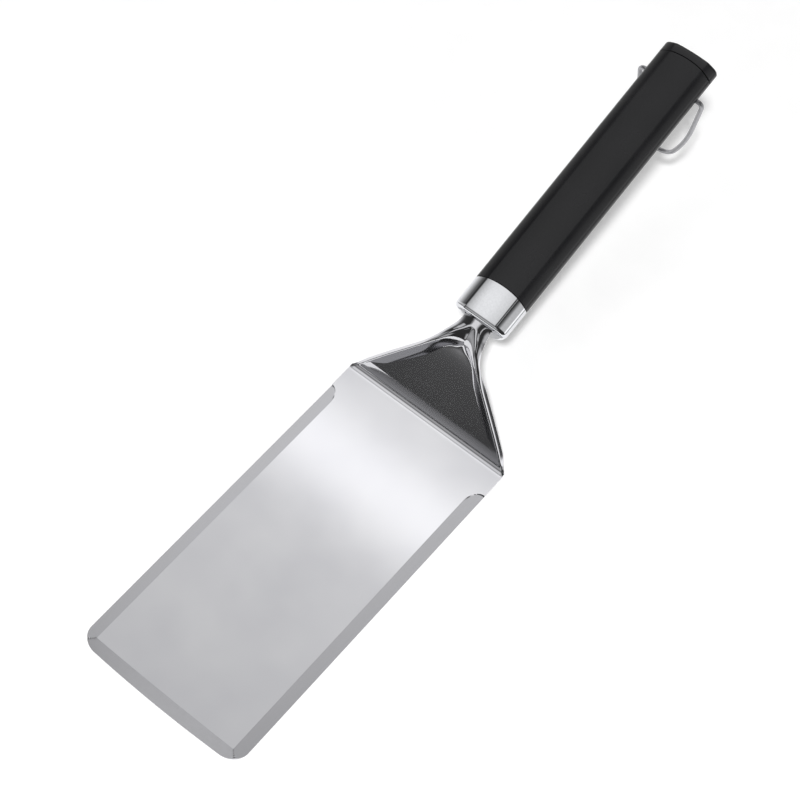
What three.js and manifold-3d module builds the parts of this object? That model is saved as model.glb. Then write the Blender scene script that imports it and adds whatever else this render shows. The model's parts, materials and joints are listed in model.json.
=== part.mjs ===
// Grill spatula. A stamped steel blade with a steep, dished neck runs into a plated ferrule and is
// riveted to a tang. The tang passes through a two-part core inside a hollow moulded grip, and a nut
// behind the core draws them together. A wire loop hangs from the grip's rear end.
//
// Millimetres. +X points from the grip to the blade's front edge, +Y to the left, +Z up.
// The origin is the centre of the blade's flat underside, on the surface that the tool rests on.
import * as THREE from 'three';
import { mergeVertices } from 'three/addons/utils/BufferGeometryUtils.js';
import Module from 'manifold-3d';

const wasm = await Module();
wasm.setup();

const degrees = Math.PI / 180;

// ---- Driving dimensions ----

// Gap between pieces that seat on each other or pass through each other.
const clearance = 0.25;

// Blade, from the bend's corner to the front edge.
const bladeWidth = 99.5;
const bladeLength = 204;
const sheetThickness = 1.5;
const bladeCornerRadius = 10;
const frontBow = 1.5;

// Ground bevels on the sides and the front. The side bevels start a little way in front of the bend.
const bevelWidth = 6.5;
const bevelEdgeThickness = 0.4;
const bevelStart = 17;
const bevelRunOut = 14;

// Neck, bent up from the blade and then back into the line of the grip.
const neckAngle = 65 * degrees;
const neckLength = 48.9;
const bendRadius = 3;
const shoulderRadius = 12;
const shoulderToFerrule = 15.6;
const neckStartPull = 42;
const neckStartAngle = 36 * degrees;
const neckEndPull = 22;
const neckEndAngle = 6.5 * degrees;
const neckFlangeBand = 5;
const neckFlangeAngle = 75 * degrees;
const neckFlangeRamp = 12;

// Pressed dish in the neck's front face.
const dishDepth = 3;
const dishWall = 5;
const dishRim = 4.5;
const dishHalfWidth = 31;
const dishStart = 8;
const dishEndGap = 4;
const dishEndSlope = 14;

// Tongue at the neck's end, inside the ferrule.
const tongueWidth = 16.4;
const tongueEndMargin = 3.5;

// Grip section: a flat top facet, sloping shoulders, sides that draw in, and a rounded base.
const handleAngle = 16 * degrees;
const facetWidth = 19.6;
const gripWidth = 33.2;
const shoulderDrop = 3.8;
const waistWidth = 26.4;
const waistDepth = 13.5;
const baseWidth = 14;
const gripHeight = 21;
const facetCornerRadius = 2;
const shoulderCornerRadius = 3;
const waistCornerRadius = 14;
const baseCornerRadius = 6;

// Grip, ferrule and end cap along the handle.
const gripLength = 152.2;
const gripWall = 2.2;
const jointGap = 0.3;
const ferruleLength = 20.6;
const ferruleWall = 1.6;
const ferruleFrontWall = 3;
const ferruleNose = 3;
const capLength = 4.5;
const capNose = 1;
const capSeamBowRadius = 45;
const capEndBowRadius = 80;
const capPlugLength = 5.6;
const capPlugPocketRadius = 3;
const insertSpigot = 5;

// Tang, its rivets and its nut.
const tangWidth = 7;
const tangHeight = 5;
const tangFrontGap = 0.4;
const studRadius = 2;
const studInCore = 17;
const studOverhang = 1.1;
const rivetRadius = 1.5;
const rivetHeadRadius = 2.4;
const rivetHeadHeight = 0.9;
const rivetFrontSetback = 5;
const rivetPitch = 8;
const washerRadius = 4.6;
const washerThickness = 0.8;
const nutFlats = 7;
const nutThickness = 3.2;

// Core halves inside the grip.
const corePinRadius = 1.5;
const corePinInset = 30;
const corePinPitch = 70;
const corePinTopCover = 0.6;
const corePinDepth = 16;
const pocketWidth = 10;
const pocketRoof = 2.2;
const pocketRib = 8;
const pocketCount = 5;

// Hanging loop, bent from one wire.
const wireRadius = 1.25;
const loopPivotSetback = 13.6;
const loopPivotDepth = 7;
const loopSideGap = 3.2;
const loopBowRadius = 14.3;
const loopLength = 51;
const loopBendRadius = 2.6;
const loopEndDepth = 8.2;

// How finely corners, rounded ends and the loop are stepped.
const cornerSteps = 4;
const noseSteps = 4;
const facetSteps = 6;
const loopSteps = 72;
const loopBowSteps = 6;

// ---- Materials ----

const steelSatin = new THREE.MeshStandardMaterial({ color: 0xc4c5c9, metalness: 1, roughness: 0.32 });
const steelPlain = new THREE.MeshStandardMaterial({ color: 0xa9abb0, metalness: 1, roughness: 0.45 });
const chrome = new THREE.MeshStandardMaterial({ color: 0xd6d8da, metalness: 1, roughness: 0.08 });
const wireSteel = new THREE.MeshStandardMaterial({ color: 0xb4b5b8, metalness: 1, roughness: 0.3 });
const gripBlack = new THREE.MeshStandardMaterial({ color: 0x26262a, metalness: 0, roughness: 0.45 });
const coreGrey = new THREE.MeshStandardMaterial({ color: 0x5a5c60, metalness: 0, roughness: 0.7 });
const insertBlack = new THREE.MeshStandardMaterial({ color: 0x1b1b1d, metalness: 0, roughness: 0.7 });

// ---- Solids ----

function toSolid(geometry) {
  const bare = geometry.clone();
  bare.deleteAttribute('normal');
  bare.deleteAttribute('uv');
  const merged = mergeVertices(bare, 1e-4);
  return new wasm.Manifold(new wasm.Mesh({
    numProp: 3,
    vertProperties: new Float32Array(merged.getAttribute('position').array),
    triVerts: new Uint32Array(merged.getIndex().array),
  }));
}

function toGeometry(solid) {
  const mesh = solid.getMesh();
  const geometry = new THREE.BufferGeometry();
  geometry.setAttribute('position', new THREE.BufferAttribute(mesh.vertProperties, 3));
  geometry.setIndex(new THREE.BufferAttribute(mesh.triVerts, 1));
  geometry.computeVertexNormals();
  return geometry;
}

function cut(geometry, ...tools) {
  let solid = toSolid(geometry);
  for (const tool of tools) {
    solid = solid.subtract(toSolid(tool));
  }
  return toGeometry(solid);
}

function join(geometry, ...others) {
  let solid = toSolid(geometry);
  for (const other of others) {
    solid = solid.add(toSolid(other));
  }
  return toGeometry(solid);
}

// ---- Stamped sheet: blade, bend, neck, shoulder and tongue ----

// The sheet's underside in side view, measured along the sheet from where the bend starts.
// The blade has negative distances, and the neck and tongue have positive ones.
const bendOuterRadius = bendRadius + sheetThickness;
const bendTangent = bendOuterRadius * Math.tan(neckAngle / 2);
const shoulderTurn = neckAngle - handleAngle;
const shoulderTangent = shoulderRadius * Math.tan(shoulderTurn / 2);
const neckFrom = bendOuterRadius * neckAngle;
const shoulderFrom = neckFrom + neckLength - bendTangent - shoulderTangent;
const tongueFrom = shoulderFrom + shoulderRadius * shoulderTurn;
const ferruleFrom = tongueFrom + shoulderToFerrule - shoulderTangent;
const tongueLength = ferruleFrontWall + rivetFrontSetback + rivetPitch + tongueEndMargin;
const sheetEnd = ferruleFrom + tongueLength;

function sheetAt(distance) {
  const bend = Math.min(Math.max(distance, 0), neckFrom);
  const bendTurn = bend / bendOuterRadius;
  const point = { x: bendTangent, z: 0, angle: bendTurn };
  point.x -= Math.min(distance, 0) + bendOuterRadius * Math.sin(bendTurn);
  point.z += bendOuterRadius * (1 - Math.cos(bendTurn));
  const straight = Math.min(distance, shoulderFrom) - neckFrom;
  if (straight > 0) {
    point.x -= straight * Math.cos(neckAngle);
    point.z += straight * Math.sin(neckAngle);
  }
  const shoulder = Math.min(distance, tongueFrom) - shoulderFrom;
  if (shoulder > 0) {
    point.angle = neckAngle - shoulder / shoulderRadius;
    point.x -= shoulderRadius * (Math.sin(neckAngle) - Math.sin(point.angle));
    point.z += shoulderRadius * (Math.cos(point.angle) - Math.cos(neckAngle));
  }
  const tongue = distance - tongueFrom;
  if (tongue > 0) {
    point.x -= tongue * Math.cos(handleAngle);
    point.z += tongue * Math.sin(handleAngle);
  }
  return point;
}

// Outline of the neck from above: half the width against the distance along the sheet, from the middle
// of the bend to the ferrule.
const bendMiddle = neckFrom / 2;
const neckOutline = new THREE.CubicBezierCurve(
  new THREE.Vector2(bendMiddle, bladeWidth / 2),
  new THREE.Vector2(
    bendMiddle + neckStartPull * Math.cos(neckStartAngle),
    bladeWidth / 2 - neckStartPull * Math.sin(neckStartAngle),
  ),
  new THREE.Vector2(
    ferruleFrom - neckEndPull * Math.cos(neckEndAngle),
    tongueWidth / 2 + neckEndPull * Math.sin(neckEndAngle),
  ),
  new THREE.Vector2(ferruleFrom, tongueWidth / 2),
).getPoints(120);

function neckHalfWidth(distance) {
  const next = neckOutline.findIndex((point) => point.x >= distance);
  if (next < 1) {
    return next < 0 ? tongueWidth / 2 : bladeWidth / 2;
  }
  const before = neckOutline[next - 1];
  const after = neckOutline[next];
  return THREE.MathUtils.mapLinear(distance, before.x, after.x, before.y, after.y);
}

function bladeHalfWidth(x) {
  const intoCorner = Math.max(x - (bladeLength - bladeCornerRadius), 0);
  const rounded = Math.sqrt(Math.max(bladeCornerRadius ** 2 - intoCorner ** 2, 0));
  return bladeWidth / 2 - bladeCornerRadius + rounded;
}

// Where the sheet is measured, from the tongue's end to the blade's front edge.
function sheetStations() {
  const spread = (from, to, count) => Array.from(
    { length: count },
    (_, i) => THREE.MathUtils.lerp(from, to, i / count),
  );
  const blade = (x) => bendTangent - x;
  const cornerFrom = bladeLength - bladeCornerRadius;
  const bevelTurn = Math.asin(Math.max(bladeCornerRadius - bevelWidth, 0) / bladeCornerRadius);
  const corner = spread(bevelTurn, Math.PI / 2, 4).concat(Math.PI / 2);
  return [
    ...spread(sheetEnd, ferruleFrom, 2),
    ...spread(ferruleFrom, tongueFrom, 2),
    ...spread(tongueFrom, shoulderFrom, 4),
    ...spread(shoulderFrom, neckFrom, 9),
    ...spread(neckFrom, 0, 4),
    0,
    ...spread(blade(bevelStart), blade(bevelStart + bevelRunOut), 4),
    ...spread(blade(bevelStart + bevelRunOut), blade(cornerFrom), 2),
    blade(cornerFrom),
    ...corner.map((turn) => blade(cornerFrom + bladeCornerRadius * Math.sin(turn))),
  ];
}

function dishAt(distance, y, halfWidth) {
  const { smoothstep } = THREE.MathUtils;
  const end = ferruleFrom - dishEndGap;
  const along = smoothstep(distance, dishStart, dishStart + dishWall)
    * (1 - smoothstep(distance, end - dishEndSlope, end));
  const edge = Math.min(halfWidth - dishRim, dishHalfWidth);
  const across = 1 - smoothstep(Math.abs(y), edge - dishWall / 2, edge + dishWall / 2);
  return dishDepth * along * across;
}

// One point of the sheet. flat runs from 0 to 1 over the plain part of the width, band from 0 to 1 over
// the ground bevel or the rolled flange beside it, and level is 0 underneath and 1 on top.
function sheetPoint(station, side, flat, band, level) {
  const { smoothstep } = THREE.MathUtils;
  const x = bendTangent - station;
  const onBlade = station <= 0;
  const halfWidth = onBlade ? bladeHalfWidth(x) : neckHalfWidth(station);
  const ground = onBlade ? smoothstep(x, bevelStart, bevelStart + bevelRunOut) : 0;
  const bandWidth = onBlade
    ? THREE.MathUtils.lerp(neckFlangeBand, bevelWidth, ground)
    : neckFlangeBand;
  const flange = neckFlangeAngle * smoothstep(station, 0, neckFlangeRamp)
    * (1 - smoothstep(station, shoulderFrom, ferruleFrom));
  const turn = flange * band;
  const acrossBand = flange > 0 ? bandWidth * Math.sin(turn) / Math.sin(flange) : bandWidth * band;
  const dropBand = flange > 0 ? bandWidth * (1 - Math.cos(turn)) / Math.sin(flange) : 0;
  const y = (halfWidth - bandWidth) * flat + acrossBand;
  const front = onBlade ? Math.max((x - bladeLength + bevelWidth) / bevelWidth, 0) : 0;
  const thickness = THREE.MathUtils.lerp(
    sheetThickness,
    bevelEdgeThickness,
    Math.max(front, ground * band),
  );
  const above = thickness * (1 - (1 - level) * Math.cos(turn)) - dropBand - dishAt(station, y, halfWidth);
  const outward = y - (1 - level) * thickness * Math.sin(turn);
  const bowed = onBlade ? frontBow * (y / bladeWidth * 2) ** 2 * Math.min(Math.max(
    (x - bladeLength + bladeCornerRadius) / bladeCornerRadius,
    0,
  ), 1) : 0;
  const line = sheetAt(station + bowed);
  return new THREE.Vector3(
    line.x + above * Math.sin(line.angle),
    side * outward,
    line.z + above * Math.cos(line.angle),
  );
}

function sheetGeometry() {
  const stations = sheetStations();
  const flatSteps = 7;
  const bandSteps = 3;
  const halfSteps = flatSteps + bandSteps;
  const geometry = new THREE.BoxGeometry(1, 1, 1, stations.length - 1, 2 * halfSteps, 1);
  const position = geometry.getAttribute('position');
  for (let i = 0; i < position.count; i += 1) {
    const station = stations[Math.round((position.getX(i) + 0.5) * (stations.length - 1))];
    const across = Math.round(position.getY(i) * 2 * halfSteps);
    const steps = Math.abs(across);
    const point = sheetPoint(
      station,
      Math.sign(across),
      Math.min(steps / flatSteps, 1),
      Math.max((steps - flatSteps) / bandSteps, 0),
      position.getZ(i) + 0.5,
    );
    position.setXYZ(i, point.x, point.y, point.z);
  }
  return geometry;
}

// ---- Handle ----

// The handle is built in its own axes: +X forwards along it, +Y to the left and +Z out of the grip's top
// facet. Its origin is the middle of the facet's front end, where the grip meets the ferrule.

// Section corners, all round, as [half width, depth below the facet, corner radius].
const sectionCorners = [
  [facetWidth / 2, 0, facetCornerRadius],
  [gripWidth / 2, shoulderDrop, shoulderCornerRadius],
  [waistWidth / 2, waistDepth, waistCornerRadius],
  [baseWidth / 2, gripHeight, baseCornerRadius],
];

// The same section with every side moved inwards by a distance.
function handleSection(inset = 0) {
  const right = sectionCorners.map(([y, depth, radius]) => ({ y, z: -depth, radius }));
  const left = right.map(({ y, z, radius }) => ({ y: -y, z, radius })).reverse();
  const corners = [...right, ...left];
  const sides = corners.map((corner, i) => {
    const next = corners[(i + 1) % corners.length];
    const length = Math.hypot(next.y - corner.y, next.z - corner.z);
    const along = { y: (next.y - corner.y) / length, z: (next.z - corner.z) / length };
    // The corners run clockwise, so the inside is on the right of each side.
    return {
      along,
      y: corner.y + along.z * inset,
      z: corner.z - along.y * inset,
    };
  });
  const moved = corners.map((corner, i) => {
    const before = sides[(i + sides.length - 1) % sides.length];
    const after = sides[i];
    const cross = before.along.y * after.along.z - before.along.z * after.along.y;
    const reach = ((after.y - before.y) * after.along.z - (after.z - before.z) * after.along.y) / cross;
    const turn = Math.atan2(
      Math.abs(cross),
      before.along.y * after.along.y + before.along.z * after.along.z,
    );
    const radius = Math.max(corner.radius - inset, 0.4);
    return {
      y: before.y + before.along.y * reach,
      z: before.z + before.along.z * reach,
      before: before.along,
      after: after.along,
      trim: radius * Math.tan(turn / 2),
    };
  });
  const shape = new THREE.Shape();
  moved.forEach((corner, i) => {
    const fromY = corner.y - corner.before.y * corner.trim;
    const fromZ = corner.z - corner.before.z * corner.trim;
    const toY = corner.y + corner.after.y * corner.trim;
    const toZ = corner.z + corner.after.z * corner.trim;
    if (i === 0) {
      shape.moveTo(fromY, fromZ);
    } else {
      shape.lineTo(fromY, fromZ);
    }
    shape.quadraticCurveTo(corner.y, corner.z, toY, toZ);
  });
  // The top facet is stepped too, for the ends that are bowed.
  const last = shape.currentPoint.clone();
  const first = shape.getPoints(1)[0];
  for (let i = 1; i < facetSteps; i += 1) {
    shape.lineTo(...last.clone().lerp(first, i / facetSteps));
  }
  shape.closePath();
  return shape;
}

// Turns an extrusion along +Z into one along the handle that ends at the given x.
function alongHandle(geometry, frontX, length) {
  const turned = geometry.clone();
  turned.applyMatrix4(new THREE.Matrix4().makeBasis(
    new THREE.Vector3(0, 1, 0),
    new THREE.Vector3(0, 0, 1),
    new THREE.Vector3(1, 0, 0),
  ));
  return turned.translate(frontX - length, 0, 0);
}

// A bar of the handle's section. Each layer, from the rear to the front, is a place along the bar, the
// section's inset there and how strongly the layer is bowed rearwards in the middle, if it is.
function sectionBar(layers, frontX) {
  const length = layers.at(-1).along;
  const steps = layers.length - 1;
  const full = handleSection();
  const bar = new THREE.ExtrudeGeometry(full, {
    depth: length,
    steps,
    bevelEnabled: false,
    curveSegments: cornerSteps,
  });
  const outline = full.getPoints(cornerSteps);
  const outlines = layers.map(({ inset }) => handleSection(inset).getPoints(cornerSteps));
  const position = bar.getAttribute('position');
  for (let i = 0; i < position.count; i += 1) {
    const at = new THREE.Vector2(position.getX(i), position.getY(i));
    const corner = outline.findIndex((point) => point.distanceTo(at) < 1e-4);
    const layer = Math.round(position.getZ(i) / length * steps);
    const moved = outlines[layer][corner];
    const { along, bowRadius = Infinity } = layers[layer];
    position.setXYZ(i, moved.x, moved.y, along + moved.x ** 2 / 2 / bowRadius);
  }
  return alongHandle(bar, frontX, length);
}

function plainBar(inset, frontX, length) {
  return sectionBar([{ along: 0, inset }, { along: length, inset }], frontX);
}

// The rounded end of a bar, as layers that draw in from the full section.
function noseLayers(nose) {
  return Array.from({ length: noseSteps + 1 }, (_, i) => {
    const turn = i / noseSteps * Math.PI / 2;
    return { along: nose * Math.sin(turn), inset: nose * (1 - Math.cos(turn)) };
  });
}

// A box from its limits: [rear, front], [right, left] and [bottom, top].
function block([rear, front], [right, left], [bottom, top]) {
  const box = new THREE.BoxGeometry(front - rear, left - right, top - bottom);
  return box.translate((front + rear) / 2, (left + right) / 2, (top + bottom) / 2);
}

function rod(radius, [from, to], axis, segments = 20) {
  const cylinder = new THREE.CylinderGeometry(radius, radius, to - from, segments);
  cylinder.translate(0, (from + to) / 2, 0);
  if (axis === 'x') {
    cylinder.rotateZ(-Math.PI / 2);
  }
  if (axis === 'z') {
    cylinder.rotateX(Math.PI / 2);
  }
  return cylinder;
}

// Places along the handle.
const ferruleFront = ferruleLength;
const ferruleRear = 0;
const gripFront = ferruleRear - jointGap;
const gripRear = gripFront - gripLength;
const capFront = gripRear - jointGap;
const rivetFrontPlace = ferruleFront - ferruleFrontWall - rivetFrontSetback;
const rivetRearPlace = rivetFrontPlace - rivetPitch;
const tongueRear = ferruleFront - tongueLength;
const insertFront = ferruleFront - ferruleFrontWall - clearance;
const insertRear = gripFront - insertSpigot;
const coreFront = insertRear - clearance;
const plugFront = capFront + capPlugLength;
const nutRear = plugFront + clearance;
const nutFront = nutRear + nutThickness;
const washerRear = nutFront + clearance;
const coreRear = washerRear + washerThickness + clearance;
const corePinFrontPlace = coreFront - corePinInset;
const corePinRearPlace = corePinFrontPlace - corePinPitch;
const tangFront = ferruleFront - ferruleFrontWall - clearance - tangFrontGap;
const tangBarRear = coreRear + studInCore;
const studRear = nutRear - studOverhang;
const innerInset = Math.max(ferruleWall, gripWall) + clearance;

// Heights in the handle, below the top facet. The front rivet's head has its room above the tongue.
const tongueTop = -(ferruleWall + rivetHeadHeight + 2 * clearance);
const tongueUnder = tongueTop - sheetThickness;
const tangTop = tongueUnder - clearance;
const tangUnder = tangTop - tangHeight;
const tangMiddle = (tangTop + tangUnder) / 2;

const rivetPlaces = [rivetFrontPlace, rivetRearPlace];
const corePinPlaces = [corePinFrontPlace, corePinRearPlace];

function ferruleGeometry() {
  const nose = noseLayers(ferruleNose).map(({ along, inset }) => ({
    along: ferruleLength - ferruleNose + along,
    inset,
  }));
  const outer = sectionBar([{ along: 0, inset: 0 }, ...nose], ferruleFront);
  const hollow = plainBar(ferruleWall, ferruleFront - ferruleFrontWall, ferruleLength);
  const slot = block(
    [0, ferruleLength + 1],
    [-tongueWidth / 2 - clearance, tongueWidth / 2 + clearance],
    [tongueUnder - clearance, tongueTop + clearance],
  );
  return cut(outer, hollow, slot);
}

function insertGeometry() {
  const body = plainBar(innerInset, insertFront, insertFront - insertRear);
  const tongueChannel = block(
    [tongueRear - clearance, insertFront + 1],
    [-tongueWidth / 2 - clearance, tongueWidth / 2 + clearance],
    [tangTop, 1],
  );
  const rivetChannel = block(
    [tongueRear - clearance, insertFront + 1],
    [-tangWidth / 2 - clearance, tangWidth / 2 + clearance],
    [tangUnder - rivetHeadHeight - 2 * clearance, tangTop + 1],
  );
  const tangSlot = block(
    [insertRear - 1, tongueRear],
    [-tangWidth / 2 - clearance, tangWidth / 2 + clearance],
    [tangUnder - clearance, tangTop + clearance],
  );
  return cut(body, tongueChannel, rivetChannel, tangSlot);
}

function tangGeometry() {
  const bar = block([tangBarRear, tangFront], [-tangWidth / 2, tangWidth / 2], [tangUnder, tangTop]);
  const stud = rod(studRadius, [studRear, tangBarRear + 1], 'x').translate(0, 0, tangMiddle);
  const holeSpan = [tangUnder - 1, tangTop + 1];
  const rivetHoles = rivetPlaces.map((x) => rod(rivetRadius + clearance, holeSpan, 'z').translate(x, 0, 0));
  const pinHoles = corePinPlaces.map((x) => rod(corePinRadius + clearance, holeSpan, 'z').translate(x, 0, 0));
  return cut(join(bar, stud), ...rivetHoles, ...pinHoles);
}

function rivetGeometry() {
  const headTop = tongueTop + clearance + rivetHeadHeight;
  const tailUnder = tangUnder - clearance - rivetHeadHeight;
  const profile = [
    new THREE.Vector2(0, tailUnder),
    new THREE.Vector2(rivetHeadRadius * 0.8, tailUnder),
    new THREE.Vector2(rivetHeadRadius, tailUnder + rivetHeadHeight / 2),
    new THREE.Vector2(rivetHeadRadius, tangUnder - clearance),
    new THREE.Vector2(rivetRadius, tangUnder - clearance),
    new THREE.Vector2(rivetRadius, tongueTop + clearance),
    new THREE.Vector2(rivetHeadRadius, tongueTop + clearance),
    new THREE.Vector2(rivetHeadRadius, headTop - rivetHeadHeight / 2),
    new THREE.Vector2(rivetHeadRadius * 0.8, headTop),
    new THREE.Vector2(0, headTop),
  ];
  return new THREE.LatheGeometry(profile, 16).rotateX(Math.PI / 2);
}

const loopPivot = { x: gripRear + loopPivotSetback, z: -loopPivotDepth };
const loopHalfWidth = gripWidth / 2 + loopSideGap;
const loopEnd = gripWidth / 2 - loopEndDepth;

function loopHoles() {
  const radius = wireRadius + clearance;
  return [-1, 1].map((side) => {
    const span = [loopEnd - clearance, gripWidth].map((y) => side * y).sort((a, b) => a - b);
    return rod(radius, span, 'y', 16).translate(loopPivot.x, 0, loopPivot.z);
  });
}

function gripGeometry() {
  const outer = sectionBar([
    { along: 0, inset: 0, bowRadius: capSeamBowRadius },
    { along: gripLength, inset: 0 },
  ], gripFront);
  const hollow = plainBar(gripWall, gripFront + 1, gripLength + 2);
  return cut(outer, hollow, ...loopHoles());
}

function coreGeometry(upper) {
  const body = plainBar(innerInset, coreFront, coreFront - coreRear);
  const away = block(
    [coreRear - 1, coreFront + 1],
    [-gripWidth, gripWidth],
    upper
      ? [-2 * gripHeight, tangMiddle + clearance / 2]
      : [tangMiddle - clearance / 2, gripHeight],
  );
  const tangChannel = block(
    [tangBarRear - clearance, coreFront + 1],
    [-tangWidth / 2 - clearance, tangWidth / 2 + clearance],
    [tangUnder - clearance, tangTop + clearance],
  );
  const studBore = rod(studRadius + clearance, [coreRear - 1, tangBarRear + 1], 'x')
    .translate(0, 0, tangMiddle);
  const pinSpan = [-corePinDepth - clearance, -innerInset - corePinTopCover];
  const pinHoles = corePinPlaces.map((x) => rod(corePinRadius + clearance, pinSpan, 'z').translate(x, 0, 0));
  return cut(body, away, tangChannel, studBore, ...pinHoles, ...loopHoles(), ...(upper ? [] : corePockets()));
}

// Pockets that lighten the lower core, open underneath, with a rib at each core pin.
function corePockets() {
  const pitch = corePinPitch / (pocketCount - 2);
  const first = corePinFrontPlace + pitch;
  return Array.from({ length: pocketCount }, (_, i) => {
    const front = first - i * pitch - pocketRib / 2;
    return block(
      [Math.max(front - pitch + pocketRib, coreRear + pocketRib), Math.min(front, coreFront - pocketRib)],
      [-pocketWidth / 2, pocketWidth / 2],
      [-2 * gripHeight, tangUnder - clearance - pocketRoof],
    );
  });
}

function corePinGeometry() {
  const span = [-corePinDepth, -innerInset - corePinTopCover - clearance];
  return rod(corePinRadius, span, 'z', 16);
}

function washerGeometry() {
  const bore = studRadius + clearance;
  const profile = [
    new THREE.Vector2(bore, 0),
    new THREE.Vector2(washerRadius, 0),
    new THREE.Vector2(washerRadius, washerThickness),
    new THREE.Vector2(bore, washerThickness),
    new THREE.Vector2(bore, 0),
  ];
  const washer = new THREE.LatheGeometry(profile, 24).rotateZ(-Math.PI / 2);
  return washer.translate(washerRear, 0, tangMiddle);
}

function nutGeometry() {
  const corner = nutFlats / 2 / Math.cos(Math.PI / 6);
  const bore = rod(studRadius + clearance, [nutRear - 1, nutFront + 1], 'x');
  return cut(rod(corner, [nutRear, nutFront], 'x', 6), bore).translate(0, 0, tangMiddle);
}

function capGeometry() {
  const nose = noseLayers(capNose).reverse().map(({ along, inset }) => ({
    along: capNose - along,
    inset,
    bowRadius: capEndBowRadius,
  }));
  const outer = sectionBar([...nose, { along: capLength, inset: 0, bowRadius: capSeamBowRadius }], capFront);
  const plug = plainBar(gripWall + clearance, plugFront, capPlugLength + 1);
  const studPocket = rod(capPlugPocketRadius, [capFront, plugFront + 1], 'x')
    .translate(0, 0, tangMiddle);
  return cut(join(outer, plug), studPocket);
}

// The loop's wire, in the plane that holds the pivot axis: across the handle and down from it.
function loopGeometry() {
  const point = (y, down) => new THREE.Vector3(0, y, -down);
  const legEnd = loopLength - loopBowRadius;
  const lean = Math.atan2(loopHalfWidth - loopBowRadius, legEnd);
  const bendFrom = point(loopHalfWidth - loopBendRadius, 0);
  const bendTo = point(
    loopHalfWidth - loopBendRadius * Math.sin(lean),
    loopBendRadius * Math.cos(lean),
  );
  const bow = Array.from({ length: loopBowSteps }, (_, i) => {
    const turn = i / loopBowSteps * Math.PI / 2;
    return point(loopBowRadius * Math.cos(turn), legEnd + loopBowRadius * Math.sin(turn));
  });
  const half = [
    ...new THREE.LineCurve3(point(loopEnd, 0), bendFrom).getPoints(3),
    ...new THREE.QuadraticBezierCurve3(bendFrom, point(loopHalfWidth, 0), bendTo).getPoints(4).slice(1),
    ...new THREE.LineCurve3(bendTo, bow[0]).getPoints(5).slice(1),
    ...bow.slice(1),
  ];
  const otherHalf = half.map(({ y, z }) => new THREE.Vector3(0, -y, z)).reverse();
  const path = new THREE.CatmullRomCurve3([...half, point(0, loopLength), ...otherHalf]);
  const section = new THREE.Shape().absarc(0, 0, wireRadius, 0, 2 * Math.PI);
  return new THREE.ExtrudeGeometry(section, {
    steps: loopSteps,
    extrudePath: path,
    curveSegments: 5,
  });
}

// ---- Assembly ----

const spatula = new THREE.Group();
spatula.position.x = -bladeLength / 2;

function addPiece(parent, name, geometry, material) {
  const mesh = new THREE.Mesh(geometry, material);
  mesh.name = name;
  parent.add(mesh);
  return mesh;
}

// The handle lies along the tongue.
const ferruleLine = sheetAt(ferruleFrom);
const facetHeight = -tongueUnder;
const handle = new THREE.Group();
handle.rotation.y = handleAngle;
handle.position.set(
  ferruleLine.x - ferruleLength * Math.cos(handleAngle) + facetHeight * Math.sin(handleAngle),
  0,
  ferruleLine.z + ferruleLength * Math.sin(handleAngle) + facetHeight * Math.cos(handleAngle),
);
spatula.add(handle);

handle.updateMatrix();
const rivetHolesInSheet = rivetPlaces.map((x) => rod(
  rivetRadius + clearance,
  [tongueUnder - 1, tongueTop + 1],
  'z',
).translate(x, 0, 0).applyMatrix4(handle.matrix));
addPiece(spatula, 'blade', cut(sheetGeometry(), ...rivetHolesInSheet), steelSatin);

addPiece(handle, 'ferrule', ferruleGeometry(), chrome);
addPiece(handle, 'ferrule_insert', insertGeometry(), insertBlack);
addPiece(handle, 'tang', tangGeometry(), steelPlain);
['rivet_front', 'rivet_rear'].forEach((name, i) => {
  addPiece(handle, name, rivetGeometry(), steelPlain).position.x = rivetPlaces[i];
});
addPiece(handle, 'grip', gripGeometry(), gripBlack);
addPiece(handle, 'core_upper', coreGeometry(true), coreGrey);
addPiece(handle, 'core_lower', coreGeometry(false), coreGrey);
['core_pin_front', 'core_pin_rear'].forEach((name, i) => {
  addPiece(handle, name, corePinGeometry(), steelPlain).position.x = corePinPlaces[i];
});
addPiece(handle, 'tang_washer', washerGeometry(), steelPlain);
addPiece(handle, 'tang_nut', nutGeometry(), steelPlain);
addPiece(handle, 'end_cap', capGeometry(), gripBlack);

// The loop hangs plumb from its pivot, so it is turned back against the handle's slope.
const loop = new THREE.Group();
loop.position.set(loopPivot.x, 0, loopPivot.z);
loop.rotation.y = -handleAngle;
handle.add(loop);
addPiece(loop, 'hanging_loop', loopGeometry(), wireSteel);

const root = new THREE.Group();
root.name = 'grill_spatula';
root.add(spatula);

export default root;
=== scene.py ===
"""Grill spatula: a pressed stainless blade and neck, a chromed ferrule, a moulded grip with its end cap,
and a wire hanging loop. Metres. The handle's pieces are made in the handle's own axes (X forwards along
it, Z out of its top facet) and then turned into place."""

import json
import math

import bmesh
import bpy
from mathutils import Matrix, Vector


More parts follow.
